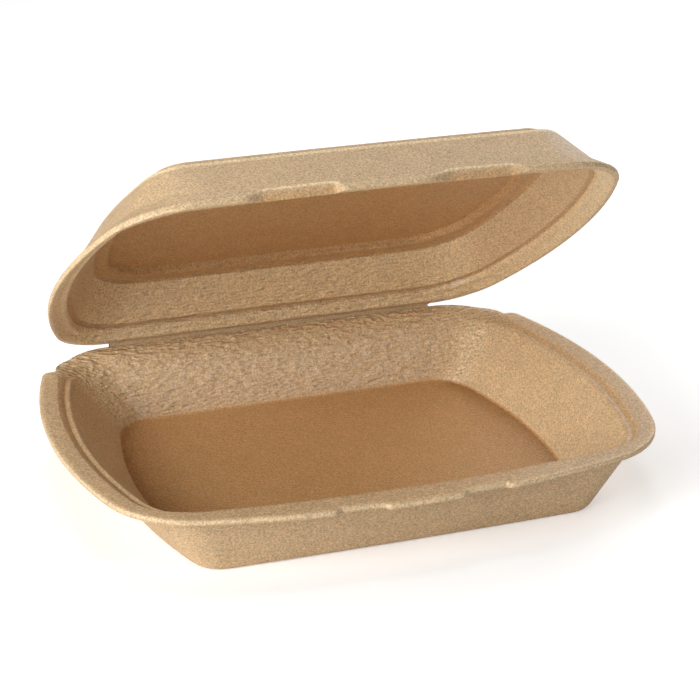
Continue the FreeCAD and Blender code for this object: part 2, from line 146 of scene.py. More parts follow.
def reach(points, outward, border):
    """How far a ray from each point runs before it meets a closed border, or 0 where it misses.

    For every ray and every piece of the border the crossing of the two lines
    is solved at once with cross products; the nearest one ahead counts.
    """
    start = border[None, :, :] - points[:, None, :]
    piece = (np.roll(border, -1, axis=0) - border)[None, :, :]
    ray = outward[:, None, :]
    spread = ray[..., 0] * piece[..., 1] - ray[..., 1] * piece[..., 0]
    spread = np.where(np.abs(spread) < 1e-12, 1e-12, spread)
    ahead = (start[..., 0] * piece[..., 1] - start[..., 1] * piece[..., 0]) / spread
    within = (start[..., 0] * ray[..., 1] - start[..., 1] * ray[..., 0]) / spread
    met = (ahead > -1e-7) & (within >= 0) & (within <= 1)
    nearest = np.where(met, ahead, np.inf).min(axis=1)
    return np.where(np.isfinite(nearest), np.maximum(nearest, 0), 0)


def smooth_step(value, low, high):
    """0 below low, 1 above high and an even S-curve between."""
    t = np.clip((value - low) / (high - low), 0, 1)
    return t * t * (3 - 2 * t)


def section_rows(stations, rounding, runs, bend):
    """Rows of a skin that passes the stations in turn, with a rounded corner at each.

    A corner is a quadratic curve that leaves one straight run and joins the
    next at the rounding's distance, at most 0.46 of the shorter run. runs
    says how many rows each straight run takes, bend how many each corner takes.
    """
    stations = np.array(stations)
    leg = np.diff(stations, axis=0)
    length = np.maximum(np.linalg.norm(leg, axis=2, keepdims=True), 1e-9)
    unit = leg / length
    rows = []
    last = stations[0]
    for k in range(1, len(stations) - 1):
        cut = np.minimum(rounding[k - 1], 0.46 * np.minimum(length[k - 1], length[k]))
        enter = stations[k] - unit[k - 1] * cut
        leave = stations[k] + unit[k] * cut
        share = np.linspace(0, 1, runs[k - 1], endpoint=False)[:, None, None]
        rows.append(last + (enter - last) * share)
        t = np.linspace(0, 1, bend, endpoint=False)[:, None, None]
        rows.append((1 - t) ** 2 * enter + 2 * t * (1 - t) * stations[k] + t**2 * leave)
        last = leave
    share = np.linspace(0, 1, runs[-1])[:, None, None]
    rows.append(last + (stations[-1] - last) * share)
    return np.concatenate(rows)


def band_starts(runs, bend):
    """First rows of a skin's straight runs and first rows of its corners.

    Each corner starts after the runs up to it and the corners before it, and
    the next straight run starts where the corner ends.
    """
    corners = np.cumsum(runs)[:-1] + bend * np.arange(len(runs) - 1)
    return np.append(0, corners + bend), corners


def lattice_noise(points, seed):
    """Smooth noise from 0 to 1: random numbers on a lattice, blended between its eight corners."""
    size = 32
    values = np.random.default_rng(seed).random((size, size, size))
    cell = np.floor(points).astype(int)
    part = points - cell
    part = part * part * (3 - 2 * part)
    total = 0
    for dx in (0, 1):
        for dy in (0, 1):
            for dz in (0, 1):
                weight = 1
                for axis, d in enumerate((dx, dy, dz)):
                    weight = weight * (part[..., axis] if d else 1 - part[..., axis])
                at = (cell + [dx, dy, dz]) % size
                total = total + weight * values[at[..., 0], at[..., 1], at[..., 2]]
    return total


def wrinkles(rows, long, short, seed):
    """Creased foam, from -1.5 to 0.5: ridges of long by short waves, bent by a slower noise.

    Noise folded over at its middle value gives sharp crests with round
    hollows. A coarse one counts 1.3 and one about half its size 0.7, and 1.5
    is taken off their sum.
    """
    slower, sideways, finer = 1.7, 1.6, 2.1
    bend = lattice_noise(rows / (long * slower), seed) - 0.5
    stretched = rows / [long, short, short] + bend[..., None] * sideways
    coarse = 1 - np.abs(2 * lattice_noise(stretched, seed + 1) - 1)
    fine = 1 - np.abs(2 * lattice_noise(stretched * finer, seed + 2) - 1)
    return 1.3 * coarse + 0.7 * fine - 1.5


def skin_normals(rows):
    """Outward normals of a ring grid, from the cross product of its two grid directions."""
    around = np.roll(rows, -1, axis=1) - np.roll(rows, 1, axis=1)
    along = np.gradient(rows, axis=0)
    normal = np.cross(along, around)
    return normal / np.maximum(np.linalg.norm(normal, axis=2, keepdims=True), 1e-12)


def skin_mesh(name, rows, sheen, tan):
    """A closed skin: quads between the rings, and a fan to a pole at each end.

    sheen and tan are numbers for each point, which the foam's finish and
    colour read; tan is painted shade above 0 and painted light below 0.
    """
    count, ring = rows.shape[:2]
    poles = np.stack([rows[0].mean(axis=0), rows[-1].mean(axis=0)])
    points = np.concatenate([rows.reshape(-1, 3), poles])
    index = np.arange(count * ring).reshape(count, ring)
    after = np.roll(index, -1, axis=1)
    quads = np.stack([index[:-1], index[1:], after[1:], after[:-1]], axis=-1).reshape(-1, 4)
    first = np.stack([np.full(ring, count * ring), index[0], after[0]], axis=-1)
    final = np.stack([index[-1], np.full(ring, count * ring + 1), after[-1]], axis=-1)
    mesh = bpy.data.meshes.new(name)
    mesh.from_pydata(points.tolist(), [], quads.tolist() + first.tolist() + final.tolist())
    for key, value in (("sheen", sheen), ("tan", tan)):
        mesh.attributes.new(key, "FLOAT", "POINT").data.foreach_set(
            "value", np.append(value.ravel(), [value[0].mean(), value[-1].mean()]).astype(np.float32)
        )
    mesh.polygons.foreach_set("use_smooth", np.ones(len(mesh.polygons), bool))
    mesh.validate()
    piece = bpy.data.objects.new(name, mesh)
    bpy.context.scene.collection.objects.link(piece)
    return piece


FLECK_CORE, FLECK_REACH = 0.12, 0.42
DARK_SHARE, PALE_SHARE, PALE_SHIFT = 0.34, 0.30, 7.3
CLOUD_SCALE, GRAIN_SCALE, CREASE_SCALE = 140.0, 1300.0, 850.0
CREASE_SQUEEZE = (0.35, 1.0, 1.0)


def speckle_group():
    """Foam flecks, worked out on Object coordinates.

    Masks: dark flecks are the cores of a few random cells, pale ones those of
    others, cloud is a slow drift of tone and grain a fine one. Crease is the
    height of the leathery skin on drawn foam: crests round flat cells that
    are wider than high.
    """
    group = bpy.data.node_groups.new("foam speckle", "ShaderNodeTree")
    group.interface.new_socket("Fleck Size", in_out="INPUT", socket_type="NodeSocketFloat")
    for name in ("Dark", "Pale", "Cloud", "Grain", "Crease"):
        group.interface.new_socket(name, in_out="OUTPUT", socket_type="NodeSocketFloat")
    nodes, links = group.nodes, group.links
    given = nodes.new("NodeGroupInput")
    out = nodes.new("NodeGroupOutput")
    place = nodes.new("ShaderNodeTexCoord")
    for name, shift, share in (("Dark", 0.0, DARK_SHARE), ("Pale", PALE_SHIFT, PALE_SHARE)):
        move = nodes.new("ShaderNodeVectorMath")
        move.operation = "ADD"
        move.inputs[1].default_value = (shift, shift, shift)
        links.new(place.outputs["Object"], move.inputs[0])
        cells = nodes.new("ShaderNodeTexVoronoi")
        cells.inputs["Randomness"].default_value = 1.0
        links.new(given.outputs["Fleck Size"], cells.inputs["Scale"])
        links.new(move.outputs[0], cells.inputs["Vector"])
        core = nodes.new("ShaderNodeMapRange")
        core.inputs["From Min"].default_value = FLECK_REACH
        core.inputs["From Max"].default_value = FLECK_CORE
        links.new(cells.outputs["Distance"], core.inputs["Value"])
        pick = nodes.new("ShaderNodeSeparateColor")
        links.new(cells.outputs["Color"], pick.inputs["Color"])
        chosen = nodes.new("ShaderNodeMath")
        chosen.operation = "LESS_THAN"
        chosen.inputs[1].default_value = share
        links.new(pick.outputs["Red"], chosen.inputs[0])
        both = nodes.new("ShaderNodeMath")
        both.operation = "MULTIPLY"
        links.new(core.outputs["Result"], both.inputs[0])
        links.new(chosen.outputs[0], both.inputs[1])
        links.new(both.outputs[0], out.inputs[name])
    for name, scale, detail in (("Cloud", CLOUD_SCALE, 3.0), ("Grain", GRAIN_SCALE, 2.0)):
        noise = nodes.new("ShaderNodeTexNoise")
        noise.inputs["Scale"].default_value = scale
        noise.inputs["Detail"].default_value = detail
        links.new(place.outputs["Object"], noise.inputs["Vector"])
        links.new(noise.outputs["Fac"], out.inputs[name])
    squeeze = nodes.new("ShaderNodeVectorMath")
    squeeze.operation = "MULTIPLY"
    squeeze.inputs[1].default_value = CREASE_SQUEEZE
    links.new(place.outputs["Object"], squeeze.inputs[0])
    crease = nodes.new("ShaderNodeTexVoronoi")
    crease.feature = "SMOOTH_F1"
    crease.inputs["Scale"].default_value = CREASE_SCALE
    crease.inputs["Smoothness"].default_value = 0.6
    links.new(squeeze.outputs[0], crease.inputs["Vector"])
    links.new(crease.outputs["Distance"], out.inputs["Crease"])
    return group


speckle = speckle_group()
FOAM = (0.630, 0.435, 0.245)
# The next colour is painted shade. The pale colour two lines below serves both the pale flecks and
# painted light.
PAINTED_SHADE_COLOUR = (0.575, 0.332, 0.142)
FLECK = (0.300, 0.160, 0.075)
PALE_FLECK_AND_PAINTED_LIGHT = (0.880, 0.680, 0.410)
NOISE_LOW, NOISE_HIGH = 0.3, 0.7
CLOUD_TONE, GRAIN_TONE = (0.96, 1.04), (0.70, 1.30)
SATIN, FILM_START, FILM_MOST, FILM_ROUGHNESS = 0.24, 0.3, 0.6, 0.28
GRAIN_RELIEF, CREASE_RELIEF = (0.35, 0.3 * MM), (0.9, 1.1 * MM)


def foam_material(name, fleck_size, dark, pale, dull):
    """Foam: a ground with dark and pale flecks, a drift of tone and a fine grain.

    The ground deepens as tan rises from 0 to 1, which is painted shade, and pales as it falls to -1,
    which is painted light.
    As sheen rises from 0 to 1 the foam turns from dull to satin, gets a thin
    glossy film and becomes more leathery.
    """
    material = bpy.data.materials.new(name)
    material.use_nodes = True
    nodes, links = material.node_tree.nodes, material.node_tree.links
    shader = nodes["Principled BSDF"]
    flecks = nodes.new("ShaderNodeGroup")
    flecks.node_tree = speckle
    flecks.inputs["Fleck Size"].default_value = fleck_size
    tan = nodes.new("ShaderNodeAttribute")
    tan.attribute_name = "tan"
    # Painted shade is mixed in where tan rises above 0, and painted light where it falls below 0.
    paint_shade = nodes.new("ShaderNodeMix")
    paint_shade.data_type = "RGBA"
    paint_shade.inputs["A"].default_value = (*FOAM, 1)
    paint_shade.inputs["B"].default_value = (*PAINTED_SHADE_COLOUR, 1)
    links.new(tan.outputs["Fac"], paint_shade.inputs["Factor"])
    below = nodes.new("ShaderNodeMapRange")
    below.inputs["From Max"].default_value = -1.0
    links.new(tan.outputs["Fac"], below.inputs["Value"])
    paint_light = nodes.new("ShaderNodeMix")
    paint_light.data_type = "RGBA"
    paint_light.inputs["B"].default_value = (*PALE_FLECK_AND_PAINTED_LIGHT, 1)
    links.new(paint_shade.outputs["Result"], paint_light.inputs["A"])
    links.new(below.outputs["Result"], paint_light.inputs["Factor"])
    ground = paint_light.outputs["Result"]
    for mask, colour, strength in (("Dark", FLECK, dark), ("Pale", PALE_FLECK_AND_PAINTED_LIGHT, pale)):
        amount = nodes.new("ShaderNodeMath")
        amount.operation = "MULTIPLY"
        amount.inputs[1].default_value = strength
        links.new(flecks.outputs[mask], amount.inputs[0])
        mix = nodes.new("ShaderNodeMix")
        mix.data_type = "RGBA"
        mix.inputs["B"].default_value = (*colour, 1)
        links.new(amount.outputs[0], mix.inputs["Factor"])
        links.new(ground, mix.inputs["A"])
        ground = mix.outputs["Result"]
    for mask, (low, high) in (("Cloud", CLOUD_TONE), ("Grain", GRAIN_TONE)):
        tone = nodes.new("ShaderNodeMapRange")
        tone.inputs["From Min"].default_value = NOISE_LOW
        tone.inputs["From Max"].default_value = NOISE_HIGH
        tone.inputs["To Min"].default_value = low
        tone.inputs["To Max"].default_value = high
        links.new(flecks.outputs[mask], tone.inputs["Value"])
        shade = nodes.new("ShaderNodeVectorMath")
        shade.operation = "SCALE"
        links.new(ground, shade.inputs[0])
        links.new(tone.outputs["Result"], shade.inputs["Scale"])
        ground = shade.outputs[0]
    links.new(ground, shader.inputs["Base Color"])
    sheen = nodes.new("ShaderNodeAttribute")
    sheen.attribute_name = "sheen"
    gloss = nodes.new("ShaderNodeMapRange")
    gloss.inputs["To Min"].default_value = dull
    gloss.inputs["To Max"].default_value = SATIN
    links.new(sheen.outputs["Fac"], gloss.inputs["Value"])
    links.new(gloss.outputs["Result"], shader.inputs["Roughness"])
    film = nodes.new("ShaderNodeMapRange")
    film.inputs["From Min"].default_value = FILM_START
    film.inputs["To Max"].default_value = FILM_MOST
    links.new(sheen.outputs["Fac"], film.inputs["Value"])
    links.new(film.outputs["Result"], shader.inputs["Coat Weight"])
    shader.inputs["Coat Roughness"].default_value = FILM_ROUGHNESS
    leather = nodes.new("ShaderNodeMath")
    leather.operation = "MULTIPLY"
    links.new(flecks.outputs["Crease"], leather.inputs[0])
    links.new(sheen.outputs["Fac"], leather.inputs[1])
    bump = None
    for height, (strength, distance) in (
        (flecks.outputs["Grain"], GRAIN_RELIEF),
        (leather.outputs[0], CREASE_RELIEF),
    ):
        relief = nodes.new("ShaderNodeBump")
        relief.inputs["Strength"].default_value = strength
        relief.inputs["Distance"].default_value = distance
        links.new(height, relief.inputs["Height"])
        if bump:
            links.new(bump, relief.inputs["Normal"])
        bump = relief.outputs["Normal"]
    links.new(bump, shader.inputs["Normal"])
    return material


foam = foam_material("tan foam", fleck_size=1000.0, dark=0.42, pale=0.35, dull=0.60)

# Steps along the front bow, its corner, the end, the back turn and half of
# the back edge, with more of them where a notch starts and ends.
FRONT_HALF = 86.6 * MM
TRAY_STEPS = [
    edge_steps(44, (NOTCH_START / FRONT_HALF, NOTCH_END / FRONT_HALF)),
    edge_steps(24),
    edge_steps(44),
    edge_steps(44),
    edge_steps(150),
]
# Each plan: the belly's place, then the radii of end, bow, front corner and
# back turn.
MOUTH_PLAN = (BELLY, END_RADIUS, 650 * MM, 24 * MM, 24 * MM)
FLOOR_PLAN = (BELLY, END_RADIUS, 2500 * MM, 16 * MM, 16 * MM)
FOOT_PLAN = (BELLY, END_RADIUS, 2500 * MM, 11 * MM, 11 * MM)
WIDE_PLAN = (BELLY, END_RADIUS, 370 * MM, 38 * MM, 4 * MM)
NARROW_PLAN = (BELLY, END_RADIUS, 650 * MM, 24 * MM, 26.5 * MM)


def tray_plan(half, front, back, plan):
    """A tray outline from its half width and its front and back edges."""
    return plan_outline(half, front, back, plan, TRAY_STEPS)


floor_edge = tray_plan(
    MOUTH_HALF - END_FLARE, MOUTH_FRONT + FRONT_FLARE, MOUTH_BACK - BACK_FLARE, FLOOR_PLAN
)
mouth = tray_plan(MOUTH_HALF, MOUTH_FRONT, MOUTH_BACK, MOUTH_PLAN)
step_foot = tray_plan(MOUTH_HALF + STEP_LEDGE, MOUTH_FRONT, MOUTH_BACK, MOUTH_PLAN)
step_top = tray_plan(MOUTH_HALF + STEP_LEDGE + STEP_SLOPE, MOUTH_FRONT, MOUTH_BACK, MOUTH_PLAN)
wide_rim = tray_plan(MOUTH_HALF + END_FLANGE, MOUTH_FRONT - FRONT_FLANGE, SHOULDER_BACK, WIDE_PLAN)
narrow_rim = tray_plan(MOUTH_HALF + BACK_RIM, MOUTH_FRONT - BACK_RIM, RIM_BACK, NARROW_PLAN)
foot = tray_plan(
    MOUTH_HALF - END_FLARE + FOOT_MARGIN,
    MOUTH_FRONT + FRONT_FLARE - FOOT_MARGIN,
    MOUTH_BACK - BACK_FLARE + FOOT_MARGIN,
    FOOT_PLAN,
)
wall_top = tray_plan(MOUTH_HALF + WALL_RUN, MOUTH_FRONT - WALL_RUN, MOUTH_BACK + WALL_RUN, MOUTH_PLAN)

# The step shows at the ends and dies away round the corners. At the back the
# wall rolls over into the rim instead.
outward = outward_of(mouth)
at_end = smooth_step(np.abs(outward[:, 0]), low=0.3, high=0.75)[:, None]
at_back = smooth_step(outward[:, 1], low=0.25, high=0.8)[:, None]
step_level = RIM_HEIGHT - STEP_DEPTH
wall_level = step_level - BACK_DROP * at_back[:, 0]
wall_end = floor_edge + (mouth - floor_edge) * (
    (wall_level[:, None] - FLOOR_LEVEL) / (RIM_HEIGHT - FLOOR_LEVEL)
)
rim_inner = mouth + (step_top - mouth) * at_end + outward * at_back * BACK_ROLL
plain_ledge = 0.5 * at_height(wall_end, wall_level) + 0.5 * at_height(rim_inner, RIM_HEIGHT)
plain_ledge[:, 2] += BACK_CROWN * at_back[:, 0]
ledge = at_end * at_height(step_foot, step_level - STEP_GROOVE) + (1 - at_end) * plain_ledge
in_front = rim_inner[:, 1] < SHOULDER_BACK
out = np.where(in_front, reach(rim_inner, outward, wide_rim), 0)
out = np.maximum(out, reach(rim_inner, outward, narrow_rim))
rim_outer = rim_inner + outward * out[:, None]
from_middle = np.abs(rim_outer[:, 0])
notch_start = smooth_step(from_middle, NOTCH_START - NOTCH_SOFT, NOTCH_START + NOTCH_SOFT)
notch_end = smooth_step(-from_middle, -NOTCH_END - NOTCH_SOFT, -NOTCH_END + NOTCH_SOFT)
rim_outer[:, 1] += np.where(rim_outer[:, 1] < 0, notch_start * notch_end * NOTCH_DEPTH, 0)
under_rim = foot + (wall_top - foot) * (1 - FLANGE_THICKNESS / RIM_HEIGHT)
tray_middle = np.array([0.0, -0.5 * MM])
TRAY_RUNS = [8, 54, 3, 4, 5, 2, 4, 12, 6]
TRAY_BEND = 5
tray_rows = section_rows(
    [
        at_height(tray_middle + (floor_edge - tray_middle) * POLE_RING, FLOOR_LEVEL),
        at_height(floor_edge, FLOOR_LEVEL),
        at_height(wall_end, wall_level),
        ledge,
        at_height(rim_inner, RIM_HEIGHT),
        at_height(rim_outer, RIM_HEIGHT),
        at_height(rim_outer, RIM_HEIGHT - FLANGE_THICKNESS),
        at_height(under_rim, RIM_HEIGHT - FLANGE_THICKNESS),
        at_height(foot, 0),
        at_height(tray_middle + (foot - tray_middle) * POLE_RING, 0),
    ],
    [
        0.9 * MM,  # edge of the floor
        1.0 * MM + BACK_ROUND * at_back,  # top of the wall
        0.2 * MM + BACK_ROUND * at_back,  # ledge of the step
        0.5 * MM + BACK_ROUND * at_back,  # inner edge of the rim
        0.8 * MM - 0.6 * MM * at_back,  # outer edge of the rim
        0.9 * MM,  # its lower edge
        1.2 * MM,  # under the rim
        2.8 * MM,  # foot
    ],
    TRAY_RUNS,
    TRAY_BEND,
)

# Wrinkles are deep on the inside of the back wall, slight elsewhere, and a
# shallow groove runs along the floor's edge at the ends.
straight, corner = band_starts(TRAY_RUNS, TRAY_BEND)
floor_bend, wall_bend, _, rim_bend, edge_bend, under_bend = corner[:6]
_, wall, step, _, flange = straight[:5]
PLAIN_WRINKLE, TURN_WRINKLE, BACK_WRINKLE = 0.020 * MM, 0.06 * MM, 0.16 * MM
ROLL_WRINKLE = 1.6
GROOVE_SECTION = np.array([0.25, 0.7, 1.0, 1.0, 0.7, 0.25])
normal = skin_normals(tray_rows)
above_floor = tray_rows[..., 2] - FLOOR_LEVEL
inside_wall = smooth_step(above_floor, low=0.5 * MM, high=4 * MM)
inside_wall[edge_bend:] = 0
back_wall = inside_wall * smooth_step(outward[None, :, 1], low=0.6, high=0.97)
turn = inside_wall * smooth_step(outward[None, :, 1], low=0.3, high=0.75)
depth = PLAIN_WRINKLE + TURN_WRINKLE * turn + BACK_WRINKLE * back_wall
rolled = slice(wall_bend - 1, edge_bend)
depth[rolled] *= 1 + ROLL_WRINKLE * back_wall[rolled]
groove = np.zeros((len(tray_rows), 1))
groove[floor_bend : wall + 1, 0] = GROOVE_SECTION * FLOOR_GROOVE
tray_rows = tray_rows + normal * (
    wrinkles(tray_rows, long=3.4 * MM, short=1.7 * MM, seed=11) * depth - groove * at_end[:, 0]
)[..., None]

# Stretched foam shines, most of all in the back corners. Painted shade: the
# floor and the step's groove are a deeper tan. Painted light: the back wall
# pales towards its top, and so do the ends, with painted highlights on the
# back corners and the rim's edge.
back_corner = turn * smooth_step(-outward[None, :, 1], low=-0.97, high=-0.75)
PLAIN_SHEEN, TURN_SHEEN, BACK_SHEEN, CORNER_SHEEN, OUTSIDE_SHEEN = 0.22, 0.45, 0.4, 0.5, 0.1
sheen = PLAIN_SHEEN + TURN_SHEEN * turn + BACK_SHEEN * back_wall + CORNER_SHEEN * back_corner
sheen = np.clip(sheen, 0, 1)
sheen[edge_bend:] = OUTSIDE_SHEEN
FLOOR_PAINTED_SHADE, GROOVE_PAINTED_SHADE = 1, 0.6
BACK_FOOT_PAINTED_LIGHT, BACK_CLIMB_PAINTED_LIGHT, END_PAINTED_LIGHT, CORNER_PAINTED_HIGHLIGHT = 0.05, 0.5, 0.3, 0.25
STEP_PAINTED_LIGHT, EDGE_PAINTED_HIGHLIGHT = 0.1, 0.4
climb = np.linspace(0, 1, edge_bend - wall)[:, None]
tan = np.zeros(sheen.shape)
# Painted light: the back wall is paler, more so towards its top.
tan[wall:edge_bend] = -(BACK_FOOT_PAINTED_LIGHT + BACK_CLIMB_PAINTED_LIGHT * climb) * at_back[:, 0]
# Painted light: the end walls are paler.
tan[wall:wall_bend] -= END_PAINTED_LIGHT * at_end[:, 0]
# Painted highlight on the back corners.
tan -= CORNER_PAINTED_HIGHLIGHT * back_corner
# Painted shade: the floor is a deeper tan.
tan[:wall] = FLOOR_PAINTED_SHADE
# Painted light: the step and rim are paler at the ends.
tan[wall_bend:flange] -= STEP_PAINTED_LIGHT * at_end[:, 0]
# Painted shade in the step's groove at the ends.
tan[step + 1 : rim_bend - 1] += GROOVE_PAINTED_SHADE * at_end[:, 0]
# Painted highlight along the rim's outer edge.
tan[edge_bend:under_bend] = -EDGE_PAINTED_HIGHLIGHT
base_tray = skin_mesh("tray_skin", tray_rows, sheen, tan)
base_tray.data.materials.append(foam)
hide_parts("base_tray")
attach(base_tray, "base")

# Lid: the shallower upper half of the same foam sheet. A thin upright edge,
# a sloped brim, leaning walls and a top that is raised inside a narrow
# ledge. Two bevelled reliefs in its front lip leave a tongue between them.
LID_ANGLE = math.radians(-hinge_joint["range_deg"][0])
SEAT_GAP = 0.3 * MM
LID_HALF = 113 * MM
LID_FRONT = -80.5 * MM
LID_BACK = RIM_BACK
LID_EDGE = 2 * MM
BRIM_RISE, LID_WALL_RISE = 5.2 * MM, 15.3 * MM
BRIM_LEVEL = SEAT_GAP + LID_EDGE + BRIM_RISE
LEDGE_LEVEL = BRIM_LEVEL + LID_WALL_RISE
BRIM_END, BRIM_FRONT, BRIM_BACK = 7.6 * MM, 3.6 * MM, 2.2 * MM
END_LEAN, FRONT_LEAN, BACK_LEAN = 13.6 * MM, 12.6 * MM, 17.5 * MM
LEDGE_WIDTH = 4.6 * MM
TOP_RISE, TOP_DRAFT = 3 * MM, 1 * MM
LID_WALL, LID_WALL_RUN, LIP_RUN = 3 * MM, 3.2 * MM, 1.6 * MM
TONGUE_HALF, RELIEF_END = 20.5 * MM, 53 * MM
RELIEF_HEIGHT, RELIEF_DEPTH, RELIEF_LIP = 4.3 * MM, 1.4 * MM, 0.4 * MM
RELIEF_SHARP_END, RELIEF_OUTER_END, RELIEF_S = 2.2 * MM, 4 * MM, 6 * MM
LIP_ROUND, LIP_ROUND_LOSS = 0.7 * MM, 0.5 * MM
BRIM_RIDGE, BRIM_GROOVE = 0.75 * MM, 0.75 * MM

BOW_HALF = 84 * MM
LID_STEPS = [
    edge_steps(70, (TONGUE_HALF / BOW_HALF, RELIEF_END / BOW_HALF)),
    edge_steps(32),
    edge_steps(60),
    edge_steps(48),
    edge_steps(92),
]
LID_PLAN = (BELLY, END_RADIUS, 1500 * MM, 32 * MM, 27 * MM)
LEDGE_PLAN = (BELLY, END_RADIUS, 2500 * MM, 13.5 * MM, 13.5 * MM)
TOP_PLAN = (BELLY, END_RADIUS, 2500 * MM, 10.5 * MM, 10.5 * MM)
CEILING_PLAN = (BELLY, END_RADIUS, 2500 * MM, 13.5 * MM, 27 * MM)


def lid_plan(inset_end, inset_front, inset_back, plan):
    """A lid outline, given by how far it lies inside the lid's rim."""
    return plan_outline(
        LID_HALF - inset_end, LID_FRONT + inset_front, LID_BACK - inset_back, plan, LID_STEPS
    )


rim = lid_plan(0, 0, 0, LID_PLAN)
brim_head = lid_plan(BRIM_END, BRIM_FRONT, BRIM_BACK, LID_PLAN)
wall_head = np.array([BRIM_END + END_LEAN, BRIM_FRONT + FRONT_LEAN, BRIM_BACK + BACK_LEAN])
ledge_outer = lid_plan(*wall_head, LEDGE_PLAN)
riser_foot = lid_plan(*(wall_head + LEDGE_WIDTH), TOP_PLAN)
riser_head = lid_plan(*(wall_head + LEDGE_WIDTH + TOP_DRAFT), TOP_PLAN)
lip_inner = lid_plan(LIP_RUN, LID_WALL_RUN, LID_WALL_RUN, LID_PLAN)
brim_inner = lid_plan(
    BRIM_END + LID_EDGE, BRIM_FRONT + LID_WALL_RUN, BRIM_BACK + LID_WALL_RUN, LID_PLAN
)
ledge_inner = lid_plan(*(wall_head + LID_EDGE), CEILING_PLAN)
inner_riser = lid_plan(*(wall_head + LEDGE_WIDTH + LID_WALL), CEILING_PLAN)
inner_top = lid_plan(*(wall_head + LEDGE_WIDTH + LID_WALL + TOP_DRAFT), CEILING_PLAN)

# Each relief ends more sharply on its right than on its left, where it runs
# out in an S.
across = rim[:, 0]
left_start = smooth_step(across, -RELIEF_END - RELIEF_S, -RELIEF_END + RELIEF_OUTER_END)
left_end = smooth_step(-across, TONGUE_HALF - RELIEF_SHARP_END, TONGUE_HALF + RELIEF_SHARP_END)
right_start = smooth_step(across, TONGUE_HALF - RELIEF_S, TONGUE_HALF + RELIEF_S)
right_end = smooth_step(-across, -RELIEF_END - RELIEF_OUTER_END, -RELIEF_END + RELIEF_OUTER_END)
relief = np.where(rim[:, 1] < 0, left_start * left_end + right_start * right_end, 0)
lip_foot = at_height(rim, SEAT_GAP)
lip_foot[:, 1] += relief * (LID_WALL_RUN - RELIEF_LIP)
lip_head = at_height(rim, SEAT_GAP + LID_EDGE)
lip_head[:, 1] += relief * RELIEF_DEPTH
lip_head[:, 2] += relief * (RELIEF_HEIGHT - LID_EDGE)
lid_outward = outward_of(rim)
lip_round = LIP_ROUND - LIP_ROUND_LOSS * smooth_step(lid_outward[:, 1], low=0.8, high=1)[:, None]
lid_middle = np.array([0.0, -1.5 * MM])
LID_RUNS = [8, 3, 3, 32, 12, 2, 2, 7, 18, 4, 3, 6]
LID_BEND = 4
lid_rows = section_rows(
    [
        at_height(lid_middle + (inner_top - lid_middle) * POLE_RING, LEDGE_LEVEL),
        at_height(inner_top, LEDGE_LEVEL),
        at_height(inner_riser, LEDGE_LEVEL - LID_WALL),
        at_height(ledge_inner, LEDGE_LEVEL - LID_WALL),
        at_height(brim_inner, BRIM_LEVEL - LID_EDGE),
        at_height(lip_inner, SEAT_GAP),
        lip_foot,
        lip_head,
        at_height(brim_head, BRIM_LEVEL),
        at_height(ledge_outer, LEDGE_LEVEL),
        at_height(riser_foot, LEDGE_LEVEL),
        at_height(riser_head, LEDGE_LEVEL + TOP_RISE),
        at_height(lid_middle + (riser_head - lid_middle) * POLE_RING, LEDGE_LEVEL + TOP_RISE),
    ],
    [
        1.4 * MM,  # edge of the ceiling
        1.4 * MM,  # foot of its rise
        2 * MM,  # inside of the ledge
        0.8 * MM,  # crease above the brim
        lip_round,
        lip_round,
        0.6 * MM,  # top of the upright edge
        1.6 * MM,  # head of the brim
        0.9 * MM,  # outside of the ledge
        0.8 * MM,  # foot of the raised top
        1.2 * MM,  # edge of the raised top
    ],
    LID_RUNS,
    LID_BEND,
)
lid_straight, lid_corner = band_starts(LID_RUNS, LID_BEND)
ceiling_bend, _, inner_bend, crease_bend, lip_bend, foot_bend, head_bend, _, ledge_bend = lid_corner[:9]
_, _, _, inner_wall, brim, _, _, outer_brim, _, outer_ledge = lid_straight[:10]

# The foam is wrinkled at the back, most of all on the brim. A round ridge and
# a groove run along the inside of the brim, except at the front: two bells
# over the distance from the crease.
PLAIN_CRINKLE, TURN_CRINKLE, BACK_CRINKLE = 0.020 * MM, 0.03 * MM, 0.08 * MM
BRIM_CRINKLE = 1.2
RIDGE_PLACE, RIDGE_REACH, GROOVE_REACH = 2.6 * MM, 1.5 * MM, 0.8 * MM
lid_normal = -skin_normals(lid_rows)
lid_inside = np.zeros(lid_rows.shape[:2])
lid_inside[inner_bend:lip_bend] = 1
lid_back = lid_inside * smooth_step(lid_outward[None, :, 1], low=0.55, high=0.95)
lid_turn = lid_inside * smooth_step(lid_outward[None, :, 1], low=0.4, high=0.85)
lid_depth = PLAIN_CRINKLE + TURN_CRINKLE * lid_turn + BACK_CRINKLE * lid_back
crease_row = brim - LID_BEND // 2
lid_depth[crease_row:lip_bend] *= 1 + BRIM_CRINKLE * lid_back[crease_row:lip_bend]
run = np.linalg.norm(np.diff(lid_rows, axis=0, prepend=lid_rows[:1]), axis=2).cumsum(axis=0)
from_crease = run - run[crease_row]
ridge = BRIM_RIDGE * np.exp(-(((from_crease - RIDGE_PLACE) / RIDGE_REACH) ** 2))
ridge -= BRIM_GROOVE * np.exp(-((from_crease / GROOVE_REACH) ** 2))
ridge[: crease_row - 10] = 0
ridge[lip_bend + 2 :] = 0
ridge *= smooth_step(lid_outward[:, 1], low=-0.9, high=-0.5)
lid_rows = lid_rows + lid_normal * (
    wrinkles(lid_rows, long=3.0 * MM, short=1.6 * MM, seed=31) * lid_depth + ridge
)[..., None]

